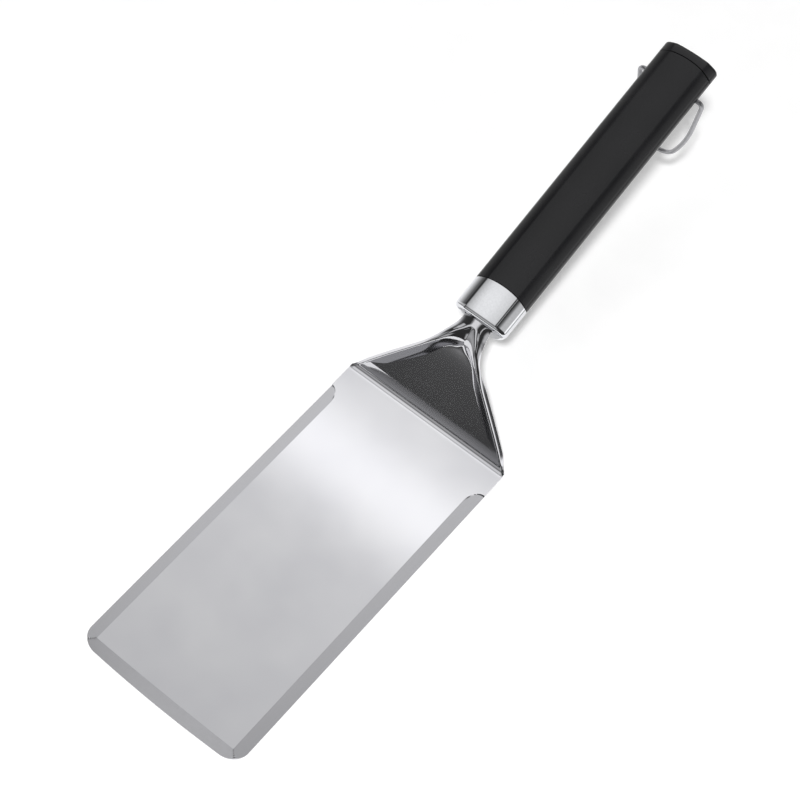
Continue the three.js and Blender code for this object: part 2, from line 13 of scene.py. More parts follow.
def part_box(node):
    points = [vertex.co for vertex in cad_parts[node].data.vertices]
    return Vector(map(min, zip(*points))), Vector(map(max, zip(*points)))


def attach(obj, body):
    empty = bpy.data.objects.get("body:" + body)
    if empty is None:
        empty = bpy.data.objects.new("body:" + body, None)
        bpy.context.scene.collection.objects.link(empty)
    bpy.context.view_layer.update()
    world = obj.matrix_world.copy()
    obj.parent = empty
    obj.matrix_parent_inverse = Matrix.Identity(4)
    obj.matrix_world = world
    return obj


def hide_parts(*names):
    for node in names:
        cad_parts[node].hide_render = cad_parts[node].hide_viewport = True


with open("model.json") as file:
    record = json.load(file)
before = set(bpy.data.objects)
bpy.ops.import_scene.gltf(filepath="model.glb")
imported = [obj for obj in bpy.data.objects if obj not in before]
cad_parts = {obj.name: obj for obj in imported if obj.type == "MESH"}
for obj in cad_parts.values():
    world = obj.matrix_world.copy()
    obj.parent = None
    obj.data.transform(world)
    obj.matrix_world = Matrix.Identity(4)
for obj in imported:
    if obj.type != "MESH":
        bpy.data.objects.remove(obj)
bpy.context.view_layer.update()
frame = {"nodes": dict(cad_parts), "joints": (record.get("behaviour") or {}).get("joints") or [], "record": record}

MM = 0.001

# ---- Where things are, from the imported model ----

loop_pivot = Vector(frame["joints"][0]["pos_m"])
blade_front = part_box("blade")[1].x

# The handle's slope, and the loop's pivot: how far it lies behind the joint between ferrule and grip, and how
# deep under the top facet. All sizes are in millimetres.
HANDLE_SLOPE = math.radians(16)
LOOP_SETBACK = 138.9
LOOP_DEPTH = 7.0
# Where the pieces end along the handle, forwards from that joint.
FERRULE_FRONT = 20.6
GRIP_FRONT = -0.65
FERRULE_REAR = -0.35
GRIP_REAR = -152.5
CAP_FRONT = -152.8
CAP_REAR = -157.8

# Section of the handle: half width, depth under the top facet and corner radius of each corner. The top and
# the shoulder facets are slightly crowned, so they have a wide corner of their own.
SECTION = [(4.9, 0.0, 190.0), (9.8, 0.2, 3.6), (12.9, 1.5, 20.0), (16.72, 3.98, 3.4), (13.2, 13.5, 14.0),
           (7.0, 21.0, 6.0)]
# The section that the hollows follow.
INNER_LINES = [(9.8, 0.2, 2.0), (16.6, 3.9, 3.0), (13.2, 13.5, 14.0), (7.0, 21.0, 6.0)]
# The middle of the section's depth, and the circle that a bar starts from.
SECTION_MIDDLE = 10.5
START_RADIUS = 15.0
FERRULE_WALL = 1.6
FERRULE_NOSE_WALL = 3.0
GRIP_WALL = 2.2
# How far each end's rim is rounded, and in how many steps.
FERRULE_NOSE_RIM = (3.0, 6)
SEAM_RIM = (0.25, 2)
CAP_TAIL_RIM = (1.7, 5)
# The seams and the cap's end are bowed to these radii. Their rims lie within these distances of the ends, and
# the strips are cut at these places off the middle.
SEAM_BOW = 45.0
CAP_BOW = 150.0
SEAM_REACH = 1.0
CAP_REACH = 2.0
BOW_CUTS = (1.2, 3.5, 6.0, 8.5, 11.5, 14.0)
# How far forwards the cap's end leans at its foot.
CAP_LEAN = 2.6
# The slot for the tongue in the ferrule's nose, and the length of the block that cuts it.
SLOT_HALF = 8.6
SLOT_TOP = 2.75
SLOT_BOTTOM = 6.4
SLOT_CUT = 12.0
LOOP_HOLE_RADIUS = 1.5
# How far a hollow's block runs out at an open end, and how long the drill for the loop's holes is.
HOLLOW_OVERRUN = 5.0
DRILL_LENGTH = 50.0

handle_turn = Matrix.Rotation(HANDLE_SLOPE, 4, "Y")
handle_origin = loop_pivot - handle_turn @ Vector((-LOOP_SETBACK * MM, 0, -LOOP_DEPTH * MM))
handle_place = Matrix.Translation(handle_origin) @ handle_turn


# ---- Modelling ----

def deselect():
    bpy.ops.object.select_all(action="DESELECT")


def begin(name):
    """Names the primitive that was just added, applies its place and opens it for editing."""
    piece = bpy.context.active_object
    piece.name = name
    piece.data.name = name
    bpy.ops.object.transform_apply(location=True, rotation=True, scale=True)
    bpy.ops.object.mode_set(mode="EDIT")
    return piece


def pick(kind, wanted):
    """Selects the vertices, edges or faces that wanted() accepts, in the piece that is open for editing."""
    bpy.ops.mesh.select_mode(type=kind)
    bpy.ops.mesh.select_all(action="DESELECT")
    mesh = bpy.context.edit_object.data
    form = bmesh.from_edit_mesh(mesh)
    parts = {"VERT": form.verts, "EDGE": form.edges, "FACE": form.faces}[kind]
    for part in parts:
        if wanted(part):
            part.select_set(True)
    form.select_flush_mode()
    bmesh.update_edit_mesh(mesh)


def close(piece):
    """Merges what meets, turns all faces outwards and leaves edit mode."""
    bpy.ops.mesh.select_all(action="SELECT")
    bpy.ops.mesh.remove_doubles(threshold=0.00001)
    bpy.ops.mesh.normals_make_consistent(inside=False)
    bpy.ops.object.mode_set(mode="OBJECT")
    return piece


def modify(piece, kind, **settings):
    """Adds a modifier and applies it."""
    bpy.context.view_layer.objects.active = piece
    modifier = piece.modifiers.new(kind.title(), kind)
    for name, value in settings.items():
        setattr(modifier, name, value)
    bpy.ops.object.modifier_apply(modifier=modifier.name)
    return piece


def smooth(piece, angle):
    deselect()
    piece.select_set(True)
    bpy.context.view_layer.objects.active = piece
    bpy.ops.object.shade_smooth_by_angle(angle=math.radians(angle))
    return piece


def place(piece, body, nodes, material=None, matrix=None):
    """Turns a finished piece into its place, ties it to its body, gives it its finish and hides the solids that it
    stands for.
    """
    if matrix is not None:
        piece.data.transform(matrix)
    if material is not None:
        piece.data.materials.clear()
        piece.data.materials.append(material)
    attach(piece, body)
    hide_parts(*nodes)
    return piece


# ---- Materials ----

def hex_colour(code):
    """An sRGB hex colour as linear red, green, blue and alpha."""
    values = [int(code[i:i + 2], 16) / 255 for i in (1, 3, 5)]
    return [v / 12.92 if v <= 0.04045 else ((v + 0.055) / 1.055) ** 2.4 for v in values] + [1]


def add_node(tree, kind, settings=None, inputs=None, links=None, stops=()):
    """Adds a node. inputs sets its sockets, links ties its sockets to other nodes' outputs, and stops are the
    places and colours of a colour ramp."""
    node = tree.nodes.new(kind)
    for name, value in (settings or {}).items():
        setattr(node, name, value)
    for name, value in (inputs or {}).items():
        node.inputs[name].default_value = value
    for name, source in (links or {}).items():
        tree.links.new(source, node.inputs[name])
    if stops:
        elements = node.color_ramp.elements
        elements[0].position, elements[0].color = stops[0]
        elements[1].position, elements[1].color = stops[-1]
        for position, colour in stops[1:-1]:
            elements.new(position).color = colour
    return node


def new_material(name):
    material = bpy.data.materials.new(name)
    material.use_nodes = True
    material.node_tree.nodes.clear()
    return material, material.node_tree


def pressed_stainless():
    """Stainless sheet 1.5 mm thick, rolled, pressed and finely polished: near mirror bright, with a very
    faint grain along the blade, and large soft clouds where the polishing belt worked it unevenly."""
    material, tree = new_material("stainless sheet, pressed and satin polished")
    place_on = add_node(tree, "ShaderNodeTexCoord")
    # Polishing grain: lines 0.25 mm apart and about 12 mm long. Real ones are too fine to show.
    stretch = add_node(tree, "ShaderNodeMapping", inputs={"Scale": (80, 4000, 4000)},
                       links={"Vector": place_on.outputs["Object"]})
    grain = add_node(tree, "ShaderNodeTexNoise", inputs={"Scale": 1.0, "Detail": 3, "Roughness": 0.6},
                     links={"Vector": stretch.outputs[0]})
    # Clouds about 40 mm across.
    clouds = add_node(tree, "ShaderNodeTexNoise", inputs={"Scale": 25, "Detail": 2},
                      links={"Vector": place_on.outputs["Object"]})
    tone = add_node(tree, "ShaderNodeValToRGB", links={"Fac": clouds.outputs["Fac"]},
                    stops=[(0.3, hex_colour("#D2D2D6")), (0.7, hex_colour("#DADADD"))])
    rough_clouds = add_node(tree, "ShaderNodeMapRange",
                            inputs={"From Min": 0.3, "From Max": 0.7, "To Min": 0.0725, "To Max": 0.0875},
                            links={"Value": clouds.outputs["Fac"]})
    rough = add_node(tree, "ShaderNodeMath", {"operation": "MULTIPLY_ADD"}, {1: 0.005},
                     {0: grain.outputs["Fac"], 2: rough_clouds.outputs[0]})
    relief = add_node(tree, "ShaderNodeBump", inputs={"Strength": 0.015, "Distance": 0.00005},
                      links={"Height": grain.outputs["Fac"]})
    steel = add_node(tree, "ShaderNodeBsdfPrincipled", inputs={"Metallic": 1.0},
                     links={"Base Color": tone.outputs[0], "Roughness": rough.outputs[0],
                            "Normal": relief.outputs[0]})
    add_node(tree, "ShaderNodeOutputMaterial", links={"Surface": steel.outputs[0]})
    return material


def ground_edge():
    """The same sheet where a grinding wheel has bevelled it: a little duller, with fine scratches that run
    along the blade."""
    material, tree = new_material("stainless sheet, ground bevel")
    place_on = add_node(tree, "ShaderNodeTexCoord")
    # Grinding scratches 0.3 mm apart and 6 mm long. Real ones of about 0.05 mm are too fine to show.
    stretch = add_node(tree, "ShaderNodeMapping", inputs={"Scale": (170, 3300, 3300)},
                       links={"Vector": place_on.outputs["Object"]})
    scratches = add_node(tree, "ShaderNodeTexNoise", inputs={"Scale": 1.0, "Detail": 2},
                         links={"Vector": stretch.outputs[0]})
    tone = add_node(tree, "ShaderNodeValToRGB", links={"Fac": scratches.outputs["Fac"]},
                    stops=[(0.3, hex_colour("#C9C9CD")), (0.7, hex_colour("#D1D1D4"))])
    rough = add_node(tree, "ShaderNodeMapRange",
                     inputs={"From Min": 0.3, "From Max": 0.7, "To Min": 0.2, "To Max": 0.27},
                     links={"Value": scratches.outputs["Fac"]})
    steel = add_node(tree, "ShaderNodeBsdfPrincipled", inputs={"Metallic": 1.0},
                     links={"Base Color": tone.outputs[0], "Roughness": rough.outputs[0]})
    add_node(tree, "ShaderNodeOutputMaterial", links={"Surface": steel.outputs[0]})
    return material


def chrome_plate():
    """Chromium plate on a drawn steel sleeve, buffed: mirror bright, with faint wipe marks."""
    material, tree = new_material("chromium plate, buffed")
    place_on = add_node(tree, "ShaderNodeTexCoord")
    # Wipe marks about 1.1 mm across: real ones are as fine as hairs, too fine to show.
    wipes = add_node(tree, "ShaderNodeTexNoise", inputs={"Scale": 900, "Detail": 2},
                     links={"Vector": place_on.outputs["Object"]})
    rough = add_node(tree, "ShaderNodeMapRange",
                     inputs={"From Min": 0.3, "From Max": 0.7, "To Min": 0.05, "To Max": 0.07},
                     links={"Value": wipes.outputs["Fac"]})
    tone = add_node(tree, "ShaderNodeValToRGB", links={"Fac": wipes.outputs["Fac"]},
                    stops=[(0.3, hex_colour("#E0E1E4")), (0.7, hex_colour("#E6E7EA"))])
    chrome = add_node(tree, "ShaderNodeBsdfPrincipled", inputs={"Metallic": 1.0},
                      links={"Base Color": tone.outputs[0], "Roughness": rough.outputs[0]})
    add_node(tree, "ShaderNodeOutputMaterial", links={"Surface": chrome.outputs[0]})
    return material


def moulded_black():
    """Black nylon, moulded in a finely eroded tool: an even satin skin with a faint grain."""
    material, tree = new_material("black nylon, moulded satin")
    place_on = add_node(tree, "ShaderNodeTexCoord")
    # Tool grain of 0.5 mm: the real one is about 0.1 mm, too fine to show. Patches are about 25 mm across.
    grain = add_node(tree, "ShaderNodeTexNoise", inputs={"Scale": 2000, "Detail": 2},
                     links={"Vector": place_on.outputs["Object"]})
    patches = add_node(tree, "ShaderNodeTexNoise", inputs={"Scale": 40, "Detail": 3},
                       links={"Vector": place_on.outputs["Object"]})
    tone = add_node(tree, "ShaderNodeValToRGB", links={"Fac": patches.outputs["Fac"]},
                    stops=[(0.35, hex_colour("#131315")), (0.65, hex_colour("#18181A"))])
    rough = add_node(tree, "ShaderNodeMapRange",
                     inputs={"From Min": 0.3, "From Max": 0.7, "To Min": 0.24, "To Max": 0.28},
                     links={"Value": patches.outputs["Fac"]})
    relief = add_node(tree, "ShaderNodeBump", inputs={"Strength": 0.15, "Distance": 0.00003},
                      links={"Height": grain.outputs["Fac"]})
    nylon = add_node(tree, "ShaderNodeBsdfPrincipled", inputs={"IOR": 1.53},
                     links={"Base Color": tone.outputs[0], "Roughness": rough.outputs[0],
                            "Normal": relief.outputs[0]})
    add_node(tree, "ShaderNodeOutputMaterial", links={"Surface": nylon.outputs[0]})
    return material


def drawn_wire():
    """Stainless wire, drawn through a die and bent: bright but soft, with faint marks from the die."""
    material, tree = new_material("stainless wire, drawn")
    place_on = add_node(tree, "ShaderNodeTexCoord")
    # Die marks about 1.4 mm across: real ones are too fine to show.
    lines = add_node(tree, "ShaderNodeTexNoise", inputs={"Scale": 700, "Detail": 2},
                     links={"Vector": place_on.outputs["Object"]})
    tone = add_node(tree, "ShaderNodeValToRGB", links={"Fac": lines.outputs["Fac"]},
                    stops=[(0.3, hex_colour("#A4A4A7")), (0.7, hex_colour("#B2B2B5"))])
    rough = add_node(tree, "ShaderNodeMapRange",
                     inputs={"From Min": 0.3, "From Max": 0.7, "To Min": 0.28, "To Max": 0.38},
                     links={"Value": lines.outputs["Fac"]})
    wire = add_node(tree, "ShaderNodeBsdfPrincipled", inputs={"Metallic": 1.0},
                    links={"Base Color": tone.outputs[0], "Roughness": rough.outputs[0]})
    add_node(tree, "ShaderNodeOutputMaterial", links={"Surface": wire.outputs[0]})
    return material


def hidden_finish(name, dark, light, grain_mm, roughness, metallic=0.0, ior=1.5):
    """A plain finish for a piece inside the handle: two near tones in grains of a given size."""
    material, tree = new_material(name)
    place_on = add_node(tree, "ShaderNodeTexCoord")
    grain = add_node(tree, "ShaderNodeTexNoise", inputs={"Scale": 1 / (grain_mm * MM), "Detail": 3},
                     links={"Vector": place_on.outputs["Object"]})
    tone = add_node(tree, "ShaderNodeValToRGB", links={"Fac": grain.outputs["Fac"]},
                    stops=[(0.35, hex_colour(dark)), (0.65, hex_colour(light))])
    rough = add_node(tree, "ShaderNodeMapRange",
                     inputs={"From Min": 0.3, "From Max": 0.7, "To Min": roughness - 0.05,
                             "To Max": roughness + 0.05},
                     links={"Value": grain.outputs["Fac"]})
    relief = add_node(tree, "ShaderNodeBump", inputs={"Strength": 0.2, "Distance": 0.00005},
                      links={"Height": grain.outputs["Fac"]})
    shader = add_node(tree, "ShaderNodeBsdfPrincipled", inputs={"Metallic": metallic, "IOR": ior},
                      links={"Base Color": tone.outputs[0], "Roughness": rough.outputs[0],
                             "Normal": relief.outputs[0]})
    add_node(tree, "ShaderNodeOutputMaterial", links={"Surface": shader.outputs[0]})
    return material


blade_steel = pressed_stainless()
ground_steel = ground_edge()
ferrule_chrome = chrome_plate()
grip_nylon = moulded_black()
loop_steel = drawn_wire()
hidden_finishes = {
    # Turned or cut steel as it left the tool.
    "plain_steel": hidden_finish("mild steel, as cut", "#9A9BA0", "#B0B1B5", 0.6, 0.42, metallic=1.0),
    # Moulded without colour matching: grey and matt.
    "core_plastic": hidden_finish("regrind polypropylene, moulded", "#55575B", "#5F6165", 1.2, 0.65),
    # Black moulded nylon, left matt.
    "insert_nylon": hidden_finish("black nylon, moulded matt", "#191919", "#202020", 0.8, 0.68, ior=1.53),
}
for part in frame["record"]["subparts"]:
    if part["material_slot"] in hidden_finishes:
        for slot in frame["nodes"][part["node"]].material_slots:
            slot.material = hidden_finishes[part["material_slot"]]


# ---- Blade, bend, neck and tongue: one pressed sheet ----

BLADE_LENGTH = 204.0
BLADE_WIDTH = 99.5
SHEET = 1.5
CORNER_RADIUS = 10.0
FRONT_BOW = 1.5
BEVEL_WIDTH = 6.5
BEVEL_EDGE = 0.4
BEVEL_START = 17.0
BEVEL_END_LENGTH = 9.5
NECK_ANGLE = math.radians(65)
NECK_LENGTH = 48.9
# On the sheet's underside. It is 3.8 on the upper face.
BEND_RADIUS = 5.3
SHOULDER_RADIUS = 12.0
SHOULDER_TO_FERRULE = 15.6
FLANGE_RAMP = 12.0
TONGUE_WIDTH = 16.4
TONGUE_LENGTH = 19.5
# The neck's outline leaves the bend and reaches the ferrule at these angles, and how firmly it holds to them.
OUTLINE_LEAVES = math.radians(36)
OUTLINE_ARRIVES = math.radians(6.5)
LEAVING_HOLD = 42.0
ARRIVING_HOLD = 22.0
OUTLINE_STEPS = 200
# The strip beside the flat part is a bevel or a flange. The flange's strip starts this far before the bend.
LEAST_STRIP = 0.3
LEAST_FLAT = 1.0
FLANGE_STRIP_START = -10.0
# Strips across half the sheet: over the flat part, over the bevel or flange, and over the dish's floor alone.
FLAT_STEPS = 50
BAND_STEPS = 12
FLOOR_STEPS = 30

# The neck along the sheet, as pairs of a distance from the bend and a value there.
# From the outline in to the crest where the flange starts to roll down:
RIM_WIDTH = [(0, 1.9), (36, 1.9), (43, 2.4), (48, 3.2), (52, 3.9), (56, 4.9), (60, 6.6), (63.5, 7.6),
             (70, 7.2)]
# How far the flange turns, in degrees, and the length of its straight skirt:
FLANGE_TURN = [(0, 75), (36, 75), (48, 52), (56, 42), (62, 34), (66, 24), (70, 0)]
FLANGE_SKIRT = [(0, 1.8), (36, 1.8), (46, 0), (66, 0)]
# The dish's wall: how steep its rim is, how steep it is further in, and where that starts.
RIM_STEEPNESS = [(0, 0.14), (34, 0.2), (48, 0.4), (56, 0.25), (66, 0.2)]
WALL_STEEPNESS = [(0, 0.8), (34, 0.9), (44, 1.1), (48, 0.95), (52, 0.8), (58, 0.55), (66, 0.4)]
WALL_START = [(0, 5.5), (34, 5.0), (44, 2.4), (50, 1.0), (66, 1.0)]
# How softly its rim and its foot are rounded, in millimetres. Where the rim is crisp, the foot is a crease.
CRISP_RIM = 0.3
WALL_ROUNDING = [(0, CRISP_RIM), (42, CRISP_RIM), (50, 1.6), (66, 1.6)]
# How softly the wall steepens, and how softly both walls meet over the middle, in square millimetres.
WALL_BLEND = 0.5
MIDDLE_BLEND = 0.3
# The dish's floor in side view leaves the neck's face here and leans back. These are its slopes in degrees
# by the distance along it. Over the shoulder it runs on as a groove that comes out before the ferrule.
DISH_START = 6.0
FLOOR_SLOPE = [(0, 65.0), (2.5, 63.6), (5, 61.8), (5.5, 57.2), (9, 56.3), (30, 56.0), (38, 54.5), (43, 50.0),
               (44.5, 51.5), (64, 51.5)]
# It is stepped this finely, this far, and the crease at its lower end lies here.
FLOOR_STEP = 0.5
FLOOR_LENGTH = 60.0
FLOOR_CREASE = 5.5

bend_tangent = BEND_RADIUS * math.tan(NECK_ANGLE / 2)
shoulder_turn = NECK_ANGLE - HANDLE_SLOPE
shoulder_tangent = SHOULDER_RADIUS * math.tan(shoulder_turn / 2)
neck_from = BEND_RADIUS * NECK_ANGLE
shoulder_from = neck_from + NECK_LENGTH - bend_tangent - shoulder_tangent
tongue_from = shoulder_from + SHOULDER_RADIUS * shoulder_turn
ferrule_from = tongue_from + SHOULDER_TO_FERRULE - shoulder_tangent
sheet_end = ferrule_from + TONGUE_LENGTH


def ease(value, low, high):
    """0 up to low, 1 from high on and an S curve between."""
    t = min(max((value - low) / (high - low), 0), 1)
    return t * t * (3 - 2 * t)


def sheet_line(distance):
    """Place and slope of the sheet's underside in side view, at a distance along it from the bend."""
    turn = min(max(distance, 0), neck_from) / BEND_RADIUS
    x = bend_tangent - min(distance, 0) - BEND_RADIUS * math.sin(turn)
    z = BEND_RADIUS * (1 - math.cos(turn))
    straight = max(min(distance, shoulder_from) - neck_from, 0)
    x -= straight * math.cos(NECK_ANGLE)
    z += straight * math.sin(NECK_ANGLE)
    if distance > shoulder_from:
        turn = NECK_ANGLE - (min(distance, tongue_from) - shoulder_from) / SHOULDER_RADIUS
        x -= SHOULDER_RADIUS * (math.sin(NECK_ANGLE) - math.sin(turn))
        z += SHOULDER_RADIUS * (math.cos(turn) - math.cos(NECK_ANGLE))
    tongue = max(distance - tongue_from, 0)
    x -= tongue * math.cos(HANDLE_SLOPE)
    z += tongue * math.sin(HANDLE_SLOPE)
    return x, z, turn


def neck_outline():
    """The neck's outline as one curve from the middle of the bend to the ferrule."""
    start = Vector((neck_from / 2, BLADE_WIDTH / 2))
    end = Vector((ferrule_from, TONGUE_WIDTH / 2))
    leave = start + LEAVING_HOLD * Vector((math.cos(OUTLINE_LEAVES), -math.sin(OUTLINE_LEAVES)))
    arrive = end + ARRIVING_HOLD * Vector((-math.cos(OUTLINE_ARRIVES), math.sin(OUTLINE_ARRIVES)))
    points = []
    for i in range(OUTLINE_STEPS + 1):
        t = i / OUTLINE_STEPS
        points.append((1 - t) ** 3 * start + 3 * (1 - t) ** 2 * t * leave
                      + 3 * (1 - t) * t * t * arrive + t ** 3 * end)
    return points


outline = neck_outline()


def half_width(station):
    """Half the sheet's width at a distance from the bend: round front corners, the blade, neck and tongue."""
    if station <= outline[0].x:
        into_corner = max(bend_tangent - station - (BLADE_LENGTH - CORNER_RADIUS), 0)
        rounded = math.sqrt(max(CORNER_RADIUS ** 2 - into_corner ** 2, 0))
        return BLADE_WIDTH / 2 - CORNER_RADIUS + rounded
    for before, after in zip(outline, outline[1:]):
        if after.x >= station:
            part = (station - before.x) / (after.x - before.x)
            return before.y + (after.y - before.y) * part
    return TONGUE_WIDTH / 2


def curve(value, stops):
    """A smooth line through pairs of place and value."""
    if value <= stops[0][0]:
        return stops[0][1]
    for i in range(len(stops) - 1):
        (start, low), (end, high) = stops[i:i + 2]
        if value < end:
            before, after = stops[max(i - 1, 0)], stops[min(i + 2, len(stops) - 1)]
            lean_in = (high - before[1]) / (end - before[0]) * (end - start)
            lean_out = (after[1] - low) / (after[0] - start) * (end - start)
            if (high - low) * (low - before[1]) <= 0:
                lean_in = 0
            if (high - low) * (after[1] - high) <= 0:
                lean_out = 0
            t = (value - start) / (end - start)
            return ((2 * t ** 3 - 3 * t * t + 1) * low + (t ** 3 - 2 * t * t + t) * lean_in
                    + (3 * t * t - 2 * t ** 3) * high + (t ** 3 - t * t) * lean_out)
    return stops[-1][1]


def face_point(station):
    """A point of the neck's front face in side view, with its slope."""
    x, z, slope = sheet_line(station)
    return Vector((x + SHEET * math.sin(slope), z + SHEET * math.cos(slope))), slope


def dish_floor():
    """The dish's floor in side view, as points one step apart."""
    at = face_point(DISH_START)[0]
    points = [at]
    for i in range(round(FLOOR_LENGTH / FLOOR_STEP)):
        slope = math.radians(curve(i * FLOOR_STEP, FLOOR_SLOPE))
        at = at + FLOOR_STEP * Vector((-math.cos(slope), math.sin(slope)))
        points.append(at)
    return points


floor_line = dish_floor()
up_the_neck = Vector((-math.cos(NECK_ANGLE), math.sin(NECK_ANGLE)))
lean_from = DISH_START + (floor_line[round(FLOOR_CREASE / FLOOR_STEP)] - floor_line[0]).dot(up_the_neck)


def floor_depth(station):
    """How deep the dish's floor lies under the neck's face, square to it."""
    at, slope = face_point(station)
    along = Vector((-math.cos(slope), math.sin(slope)))
    inward = Vector((-math.sin(slope), -math.cos(slope)))
    before = floor_line[0] - at
    for point in floor_line[1:]:
        after = point - at
        if before.dot(along) <= 0 <= after.dot(along):
            part = -before.dot(along) / (after - before).dot(along)
            return max((before + (after - before) * part).dot(inward), 0)
        before = after
    return 0


def cached(function):
    """Keeps what a function gives for each distance, because every strip asks for it again."""
    known = {}

    def look_up(station):
        if station not in known:
            known[station] = function(station)
        return known[station]
    return look_up


@cached
def dish_values(station):
    """At one distance: the floor's depth, the crest's place, the wall's values and the floor's half width.
    Halving finds where the wall meets the floor. The strips leave room for both, however narrow one is."""
    crest = half_width(station) - band_width(station)
    if not DISH_START < station < ferrule_from:
        return 0, crest, None, crest * FLOOR_STEPS / FLAT_STEPS
    deepest = floor_depth(station)
    steps = [curve(station, stops) for stops in (RIM_STEEPNESS, WALL_STEEPNESS, WALL_START, WALL_ROUNDING)]
    low, high = 0, crest
    for _ in range(30):
        middle = (low + high) / 2
        if wall_height(middle, steps) < deepest:
            low = middle
        else:
            high = middle
    return deepest, crest, steps, min(max(crest - low, 0.2 * crest), max(crest - 0.8, 0.3 * crest))


def wall_height(inside, steps):
    """How deep the dish's wall has come at a distance inside the crest."""
    gentle, steep, start, rounding = steps
    inside = (inside + math.sqrt(inside ** 2 + rounding ** 2)) / 2
    further = (inside - start + math.sqrt((inside - start) ** 2 + WALL_BLEND)) / 2
    return gentle * inside + (steep - gentle) * further


def dish(station, y):
    """How far the neck's front is pressed in: down to the floor, and up a wall to the crest on each side."""
    deepest, crest, steps, _ = dish_values(station)
    if deepest <= 0:
        return 0
    wall = wall_height(crest - math.sqrt(y * y + MIDDLE_BLEND), steps)
    # Where the dish is shallower than 3 mm, its foot is crisper.
    foot = (steps[3] - CRISP_RIM) * min(deepest / 3, 1)
    return (wall + deepest - math.sqrt((wall - deepest) ** 2 + foot ** 2)) / 2


def flat_place(station, flat):
    """Spreads the strips over the flat part: most over the dish's floor, the rest over its wall."""
    _, crest, _, edge = dish_values(station)
    share = FLOOR_STEPS / FLAT_STEPS
    if flat < share:
        return edge * flat / share
    return edge + (crest - edge) * (flat - share) / (1 - share)


def band_width(station):
    """Width of the ground bevel beside the blade, or of the rolled flange beside the neck."""
    x = bend_tangent - station
    if x > BEVEL_START:
        into = min((x - BEVEL_START) / BEVEL_END_LENGTH, 1)
        hook = BEVEL_WIDTH * math.sqrt(1 - (1 - into) ** 2)
        return max(half_width(station) - BLADE_WIDTH / 2 + hook, LEAST_STRIP)
    flange = min(curve(station, RIM_WIDTH), half_width(station) - LEAST_FLAT)
    return LEAST_STRIP + (flange - LEAST_STRIP) * ease(station, FLANGE_STRIP_START, 0)


def rolled(station, band, wide):
    """The flange's section: how far across, how far down and how far turned."""
    full = math.radians(curve(station, FLANGE_TURN)) * ease(station, 0, FLANGE_RAMP)
    if full < 0.001:
        return wide * band, 0, 0
    skirt = curve(station, FLANGE_SKIRT) * ease(station, 0, FLANGE_RAMP)
    radius = (wide - skirt * math.cos(full)) / math.sin(full)
    length = band * (radius * full + skirt)
    turn = min(length / radius, full)
    straight = max(length - radius * full, 0)
    return (radius * math.sin(turn) + straight * math.cos(turn),
            radius * (1 - math.cos(turn)) + straight * math.sin(turn), turn)


def sheet_point(station, side, flat, band, level):
    """One point of the sheet. flat runs over the plain part of the width, band over the bevel or flange
    beside it, and level is 0 underneath and 1 on top."""
    x = bend_tangent - station
    wide = band_width(station)
    across, drop, turn = rolled(station, band, wide)
    y = flat_place(station, flat) + across
    front = max((x - BLADE_LENGTH + BEVEL_WIDTH) / BEVEL_WIDTH, 0)
    ground = 0
    if x > BEVEL_START:
        # The grinding wheel leaves a small step where a side bevel ends.
        ground = max((y - BLADE_WIDTH / 2) / BEVEL_WIDTH + 1, 0) * min(band * BAND_STEPS, 1)
    thick = SHEET + (BEVEL_EDGE - SHEET) * max(front, ground)
    above = thick * (1 - (1 - level) * math.cos(turn)) - drop - dish(station, y)
    outward = y - (1 - level) * thick * math.sin(turn)
    into_corner = min(max((x - BLADE_LENGTH + CORNER_RADIUS) / CORNER_RADIUS, 0), 1)
    bow = FRONT_BOW * (y / BLADE_WIDTH * 2) ** 2 * into_corner
    line_x, line_z, slope = sheet_line(station + bow)
    return Vector((line_x + above * math.sin(slope), side * outward, line_z + above * math.cos(slope)))


def spread(start, end, count):
    return [start + (end - start) * i / count for i in range(count)]


def sheet_stations():
    """Where the sheet is cut across, from the tongue's end to the front edge: about every half millimetre on
    the pressed forms, and in even parts of a turn round the bevels' ends and the front corners."""
    corner = BLADE_LENGTH - CORNER_RADIUS
    front = [bend_tangent - corner - CORNER_RADIUS * math.sin(math.pi / 2 * i / 16) for i in range(1, 17)]
    # The front bevel's line is one of the cuts, and takes the place of any that lie close to it.
    bevel_line = bend_tangent - (BLADE_LENGTH - BEVEL_WIDTH)
    front = sorted([s for s in front if abs(s - bevel_line) > 0.3] + [bevel_line], reverse=True)
    bevel = bend_tangent - BEVEL_START
    hook = [bevel - 0.01 - BEVEL_END_LENGTH * (1 - math.cos(math.pi / 2 * i / 16)) for i in range(17)]
    return (
        spread(sheet_end, ferrule_from, 4) + spread(ferrule_from, tongue_from, 20)
        + spread(tongue_from, shoulder_from, 24) + spread(shoulder_from, lean_from, 62)
        + spread(lean_from, neck_from, 12)
        + spread(neck_from, 0, 24) + spread(0, bevel, 10) + [bevel] + hook
        + spread(hook[-1] - 1, bend_tangent - corner, 24) + [bend_tangent - corner] + front
    )


